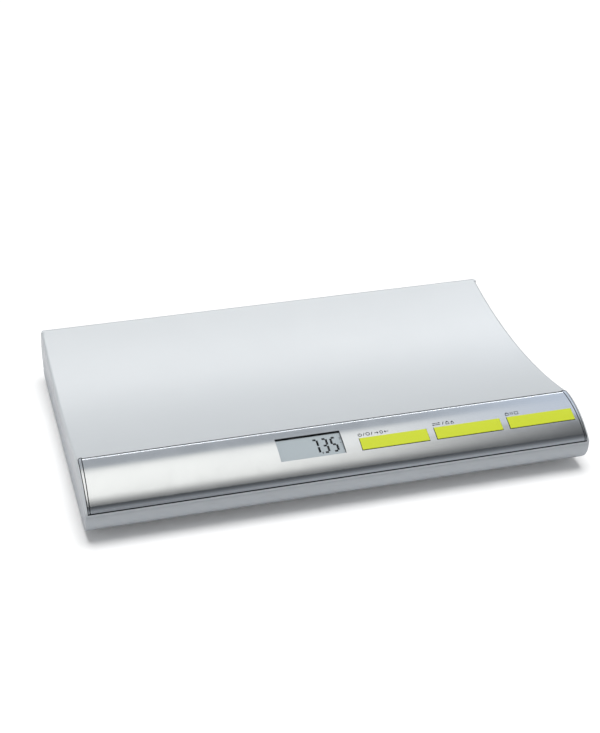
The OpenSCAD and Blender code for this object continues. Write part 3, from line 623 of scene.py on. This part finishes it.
# strokes: a square bar swept along each line of a drawing, then pressed flat
def strokeTree():
    tree = bpy.data.node_groups.new("strokes", "GeometryNodeTree")
    face = tree.interface
    face.new_socket("Geometry", in_out="INPUT", socket_type="NodeSocketGeometry")
    face.new_socket("Stroke", in_out="INPUT", socket_type="NodeSocketFloat")
    face.new_socket("Finish", in_out="INPUT", socket_type="NodeSocketMaterial")
    face.new_socket("Geometry", in_out="OUTPUT", socket_type="NodeSocketGeometry")
    given = tree.nodes.new("NodeGroupInput")
    out = tree.nodes.new("NodeGroupOutput")
    lines = tree.nodes.new("GeometryNodeMeshToCurve")
    upright = addNode(tree, "GeometryNodeSetCurveNormal", mode="Z_UP")
    section = addNode(tree, "GeometryNodeCurvePrimitiveQuadrilateral")
    swept = addNode(tree, "GeometryNodeCurveToMesh", {"Fill Caps": True})
    real = tree.nodes.new("GeometryNodeRealizeInstances")
    finish = tree.nodes.new("GeometryNodeSetMaterial")
    wire(
        tree,
        (given.outputs["Geometry"], lines.inputs["Mesh"]),
        (lines.outputs["Curve"], upright.inputs["Curve"]),
        (given.outputs["Stroke"], section.inputs["Width"]),
        (given.outputs["Stroke"], section.inputs["Height"]),
        (upright.outputs["Curve"], swept.inputs["Curve"]),
        (section.outputs["Curve"], swept.inputs["Profile Curve"]),
        (swept.outputs["Mesh"], real.inputs["Geometry"]),
        (real.outputs["Geometry"], finish.inputs["Geometry"]),
        (given.outputs["Finish"], finish.inputs["Material"]),
        (finish.outputs["Geometry"], out.inputs["Geometry"]),
    )
    return tree


strokes = strokeTree()


# lines: lists of points in mm on a flat sheet; bend: puts each flat point where it belongs
def drawStrokes(name, lines, stroke, thickness, finish, bend):
    verts, edges = [], []
    for line in lines:
        first = len(verts)
        verts += [(x * mm, y * mm, 0) for x, y in line]
        edges += [(first + i, first + i + 1) for i in range(len(line) - 1)]
    mesh = bpy.data.meshes.new(name)
    mesh.from_pydata(verts, edges, [])
    piece = bpy.data.objects.new(name, mesh)
    scene.collection.objects.link(piece)
    sweep = piece.modifiers.new("strokes", "NODES")
    sweep.node_group = strokes
    items = strokes.interface.items_tree
    sockets = {item.name: item.identifier for item in items if item.in_out == "INPUT"}
    sweep[sockets["Stroke"]] = stroke * mm
    sweep[sockets["Finish"]] = finishes[finish]
    applyModifiers(piece)
    for vert in piece.data.vertices:
        flat = vert.co.copy()
        flat.z *= thickness / stroke
        vert.co = bend(flat)
    piece.data.materials.clear()
    piece.data.materials.append(finishes[finish])
    return piece


# the display shows three digits of seven bars each, small generic marks beside them, and a black
# band of painted shade along its top
display = {
    "height": 18.2,
    "width": 5.1,
    "stroke": 2.35,
    "short": 0.85,
    "digitLeft": {"7": 3.95, "3": 13.95, "5": 24.1},
    "point": [(11.2, -9.1), (12.3, -9.1)],
    "level": -4.06,
    "marks": [
        [(33.0, 7.6), (34.9, 7.6), (34.3, 5.6), (33.6, 5.6)],
        [(33.1, 1.2), (34.6, 1.2)],
    ],
    "markStroke": 0.6,
    # painted shade: a black band along the display's top edge, where the window's recess shades it
    "paintedTopShade": [[(-35.4, 15.9), (35.4, 15.9)]],
    "paintedTopShadeStroke": 2.6,
    "thickness": 0.06,
}
barsOf = {"7": "abc", "3": "abcdg", "5": "acdfg"}


def digitLines(d):
    h, w, cut = d["height"] / 2, d["width"], d["short"]
    lines = []
    for digit, x in d["digitLeft"].items():
        bars = {
            "a": [(x + cut, h), (x + w - cut, h)],
            "g": [(x + cut, 0), (x + w - cut, 0)],
            "d": [(x + cut, -h), (x + w - cut, -h)],
            "f": [(x, h - cut), (x, cut)],
            "b": [(x + w, h - cut), (x + w, cut)],
            "c": [(x + w, -cut), (x + w, cut - h)],
        }
        lines += [bars[bar] for bar in barsOf[digit]]
    return lines + [d["point"]]


def onDisplay(flat):
    flat = flat + Vector((console["windowMiddle"], 0, display["level"] * mm))
    return slopeFrame(console["windowTilt"]) @ flat


for name, lines, stroke in (
    ("lcdDigits", digitLines(display), display["stroke"]),
    ("lcdMarks", display["marks"], display["markStroke"]),
    ("lcdPaintedTopShade", display["paintedTopShade"], display["paintedTopShadeStroke"]),
):
    drawn = drawStrokes(name, lines, stroke, display["thickness"], "ink", onDisplay)
    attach(drawn, "body")


# small plain signs behind each key: strokes in mm from the key's left end
def arcLine(cx, cy, r, start, end, steps=14, squash=1.0):
    turns = [radians(start + (end - start) * i / steps) for i in range(steps + 1)]
    return [(cx + squash * r * cos(turn), cy + r * sin(turn)) for turn in turns]


# in short lengths, so that it can follow the console's curve
def straight(a, b, steps=4):
    dx, dy = (b[0] - a[0]) / steps, (b[1] - a[1]) / steps
    return [(a[0] + dx * i, a[1] + dy * i) for i in range(steps + 1)]


def arrow(x0, x1, y, head=1.3):
    back = x1 - head if x1 > x0 else x1 + head
    return [straight((x0, y), (x1, y)), [(back, y + head), (x1, y), (back, y - head)]]


signs = {
    "foot": 10.5,
    "stroke": 0.75,
    "thickness": 0.03,
    "proud": 0.012,
    "tare": [
        # on and off: a broken ring with an upright bar, and a plain ring
        arcLine(2.1, 1.9, 1.9, 125, 415),
        straight((2.1, 2.2), (2.1, 4.2)),
        straight((5.6, 0), (7.4, 4)),
        arcLine(10.9, 2, 2, 0, 360),
        straight((14.4, 0), (16.2, 4)),
        # back to nought: two arrows that meet at a nought
        *arrow(18.2, 22.6, 2),
        arcLine(26, 2, 2, 0, 360, squash=0.7),
        *arrow(33.8, 29.4, 2),
    ],
    "unit": [
        # change over: two arrows past each other, then a large and a small weight
        *arrow(0.2, 8.6, 3.2, 0.9),
        *arrow(8.6, 0.2, 0.9, 0.9),
        straight((11.2, 0), (13.0, 4)),
        [(15, 0), (19, 0), (18.2, 2.9), (15.8, 2.9), (15, 0)],
        arcLine(17, 3.4, 0.6, 0, 360, 10),
        [(21, 0), (24.2, 0), (23.6, 2.3), (21.6, 2.3), (21, 0)],
        arcLine(22.6, 2.8, 0.5, 0, 360, 10),
    ],
    "hold": [
        # keep the reading: a shut lock, two upright bars and a square
        [(0.2, 0), (4.2, 0), (4.2, 2.3), (0.2, 2.3), (0.2, 0)],
        arcLine(2.2, 2.3, 1.4, 0, 180, squash=0.95),
        straight((6.6, 0), (6.6, 4)),
        straight((8.6, 0), (8.6, 4)),
        [(11.2, 0), (15, 0), (15, 3.8), (11.2, 3.8), (11.2, 0)],
    ],
}


def onConsole(left):
    cy, cz = console["centre"]

    def bend(flat):
        lean = radians(console["keyTilt"]) - (flat.y + signs["foot"] * mm) / console["radius"]
        reach = console["radius"] + flat.z + signs["proud"] * mm
        return Vector((left + flat.x, cy - reach * sin(lean), cz + reach * cos(lean)))

    return bend


for key, left in console["keyLeft"].items():
    name = "sign" + key.capitalize()
    sign = drawStrokes(
        name, signs[key], signs["stroke"], signs["thickness"], "ink", onConsole(left)
    )
    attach(sign, "body")
print("display and signs drawn")


# the studio: a pale floor, an even room with a soft sun, and what the lacquer mirrors of it
studio = {
    "floorSize": 8.0,
    "floorColour": (0.88, 0.89, 0.90),
    # painted reflection: these floor colours are seen only in reflections
    "floorMirrored": (0.29, 0.30, 0.315),
    "floorMirroredRight": (0.385, 0.40, 0.42),
    "floorMirroredLeft": (0.72, 0.73, 0.75),
    "leftEnds": (-0.284, -0.270),
    "rightBegins": (-0.15, 0.05),
    "floorSeen": (0.98, 0.98, 0.98),
    "floorLift": 0.10,
    "fillLevel": 0.28,
    "fillAcross": (0.20, 0.26),
    "fillFront": (-0.145, -0.09),
    "fillRear": (0.12, 0.17),
    "roomLevel": 0.25,
    "sunPower": 2.4,
    "sunSpread": 40.0,
    "sunFrom": (0.0, -0.04, 1.0),
    "stripPlace": (0.08, 0.34, 0.293),
    "stripSize": (1.1, 0.062),
    "stripPower": 0.75,
}


# painted reflection: the colour that the floor shows only in reflections, darker than the floor
# itself, pale at the left end, darker in front
def mirroredFloor(tree, along, s):
    right = fade(tree, along, *s["rightBegins"])
    inFront = mixColour(tree, right, s["floorMirrored"], s["floorMirroredRight"])
    return mixColour(tree, fade(tree, along, *s["leftEnds"]), s["floorMirroredLeft"], inFront)


# a soft light under the body, so that its underside isn't black
def underLight(tree, x, y, path, s):
    onSide = fade(tree, calc(tree, "ABSOLUTE", x), *s["fillAcross"])
    beside = calc(tree, "MAXIMUM", onSide, fade(tree, y, *s["fillRear"]))
    inside = calc(tree, "SUBTRACT", 1.0, beside)
    under = calc(tree, "MULTIPLY", fade(tree, y, *s["fillFront"]), inside)
    seenByBody = calc(tree, "MULTIPLY", under, path.outputs["Is Diffuse Ray"])
    return calc(tree, "MULTIPLY", seenByBody, s["fillLevel"])


def makeFloor(s):
    half = s["floorSize"] / 2
    mesh = bpy.data.meshes.new("floor")
    corners = [(-half, -half, 0), (half, -half, 0), (half, half, 0), (-half, half, 0)]
    mesh.from_pydata(corners, [], [(0, 1, 2, 3)])
    floor = bpy.data.objects.new("floor", mesh)
    scene.collection.objects.link(floor)
    dull = {"Roughness": 0.9, "Specular IOR Level": 0.0, "Emission Color": (1, 1, 1, 1)}
    material, tree, shader = newMaterial("floorPaper", dull)
    material.cycles.emission_sampling = "NONE"
    place = addNode(tree, "ShaderNodeTexCoord")
    split = addNode(tree, "ShaderNodeSeparateXYZ")
    wire(tree, (place.outputs["Object"], split.inputs["Vector"]))
    x, y = split.outputs["X"], split.outputs["Y"]
    path = addNode(tree, "ShaderNodeLightPath")
    toCamera, toGloss = path.outputs["Is Camera Ray"], path.outputs["Is Glossy Ray"]
    seen = calc(tree, "MAXIMUM", toCamera, path.outputs["Is Transmission Ray"])
    colour = mixColour(tree, toGloss, s["floorColour"], mirroredFloor(tree, x, s))
    lift = calc(tree, "MULTIPLY", seen, s["floorLift"])
    glow = calc(tree, "ADD", lift, underLight(tree, x, y, path, s))
    # from below the floor isn't there, so that the underside can be looked at
    side = addNode(tree, "ShaderNodeNewGeometry")
    gone = addNode(tree, "ShaderNodeBsdfTransparent")
    either = addNode(tree, "ShaderNodeMixShader")
    wire(
        tree,
        (mixColour(tree, seen, colour, s["floorSeen"]), shader.inputs["Base Color"]),
        (glow, shader.inputs["Emission Strength"]),
        (side.outputs["Backfacing"], either.inputs["Fac"]),
        (shader.outputs["BSDF"], either.inputs[1]),
        (gone.outputs["BSDF"], either.inputs[2]),
        (either.outputs["Shader"], tree.nodes["Material Output"].inputs["Surface"]),
    )
    mesh.materials.append(material)


# the mirrored room: a soft box overhead, a dark front wall and a rear wall, paler on the right
room = {
    "box": (1.31, 1.28, 1.21),
    "boxMiddle": (0.0, 0.11),
    "boxSkew": 0.12,
    "boxAcross": (0.20, 0.41),
    "boxAlong": (0.29, 0.49),
    "frontWall": [(0.0, 0.30), (0.2, 0.27), (0.45, 0.165), (0.75, 0.10), (1.0, 0.09)],
    "frontTint": (0.96, 1.0, 1.06),
    "frontToRear": (-0.12, 0.25),
    "rearLeft": (0.40, 0.42, 0.445),
    "rearRight": (0.66, 0.73, 0.86),
    "rearTurn": (0.28, 0.40),
    "rearRise": (0.28, 0.46),
}


def makeWorld(s, r):
    world = bpy.data.worlds.new("room")
    scene.world = world
    world.use_nodes = True
    tree = world.node_tree
    tree.nodes.clear()
    out = addNode(tree, "ShaderNodeOutputWorld")
    back = addNode(tree, "ShaderNodeBackground")
    coord = addNode(tree, "ShaderNodeTexCoord")
    split = addNode(tree, "ShaderNodeSeparateXYZ")
    path = addNode(tree, "ShaderNodeLightPath")
    wire(tree, (coord.outputs["Generated"], split.inputs["Vector"]))
    x, y, z = split.outputs
    across = calc(tree, "ABSOLUTE", calc(tree, "SUBTRACT", x, r["boxMiddle"][0]))
    skewed = calc(tree, "SUBTRACT", y, calc(tree, "MULTIPLY", x, r["boxSkew"]))
    along = calc(tree, "ABSOLUTE", calc(tree, "SUBTRACT", skewed, r["boxMiddle"][1]))
    pastEnds, pastSides = fade(tree, across, *r["boxAcross"]), fade(tree, along, *r["boxAlong"])
    outside = calc(tree, "MAXIMUM", pastEnds, pastSides)
    ramp = addNode(tree, "ShaderNodeValToRGB")
    stops = ramp.color_ramp.elements
    for i, (where, level) in enumerate(r["frontWall"]):
        stop = stops[i] if i < 2 else stops.new(where)
        stop.position = where
        stop.color = (*(level * part for part in r["frontTint"]), 1)
    wire(tree, (z, ramp.inputs["Fac"]))
    onRight, above = fade(tree, x, *r["rearTurn"]), fade(tree, z, *r["rearRise"])
    pale = calc(tree, "MULTIPLY", onRight, above)
    rear = mixColour(tree, pale, r["rearLeft"], r["rearRight"])
    walls = mixColour(tree, fade(tree, y, *r["frontToRear"]), ramp.outputs["Color"], rear)
    mirrored = mixColour(tree, outside, r["box"], walls)
    plain = (s["roomLevel"],) * 3
    lit = mixColour(tree, path.outputs["Is Glossy Ray"], plain, mirrored)
    toCamera, through = path.outputs["Is Camera Ray"], path.outputs["Is Transmission Ray"]
    seen = calc(tree, "MAXIMUM", toCamera, through)
    wire(
        tree,
        (mixColour(tree, seen, lit, (1.0, 1.0, 1.0)), back.inputs["Color"]),
        (back.outputs["Background"], out.inputs["Surface"]),
    )


def placeLamp(name, data, place, aim):
    lamp = bpy.data.objects.new(name, data)
    lamp.location = place
    lamp.rotation_euler = (Vector(place) - Vector(aim)).to_track_quat("Z", "Y").to_euler()
    lamp.visible_camera = False
    lamp.visible_transmission = False
    scene.collection.objects.link(lamp)
    return lamp


def makeLamps(s):
    sun = bpy.data.lights.new("softSun", "SUN")
    sun.energy = s["sunPower"]
    sun.angle = radians(s["sunSpread"])
    placeLamp("softSun", sun, s["sunFrom"], (0, 0, 0)).visible_glossy = False
    strip = bpy.data.lights.new("rearStrip", "AREA")
    strip.shape = "RECTANGLE"
    strip.size, strip.size_y = s["stripSize"]
    strip.energy = s["stripPower"]
    x, y, z = s["stripPlace"]
    placeLamp("rearStrip", strip, s["stripPlace"], (x, 0, z)).visible_diffuse = False


makeFloor(studio)
makeWorld(studio, room)
makeLamps(studio)
print("studio ready")
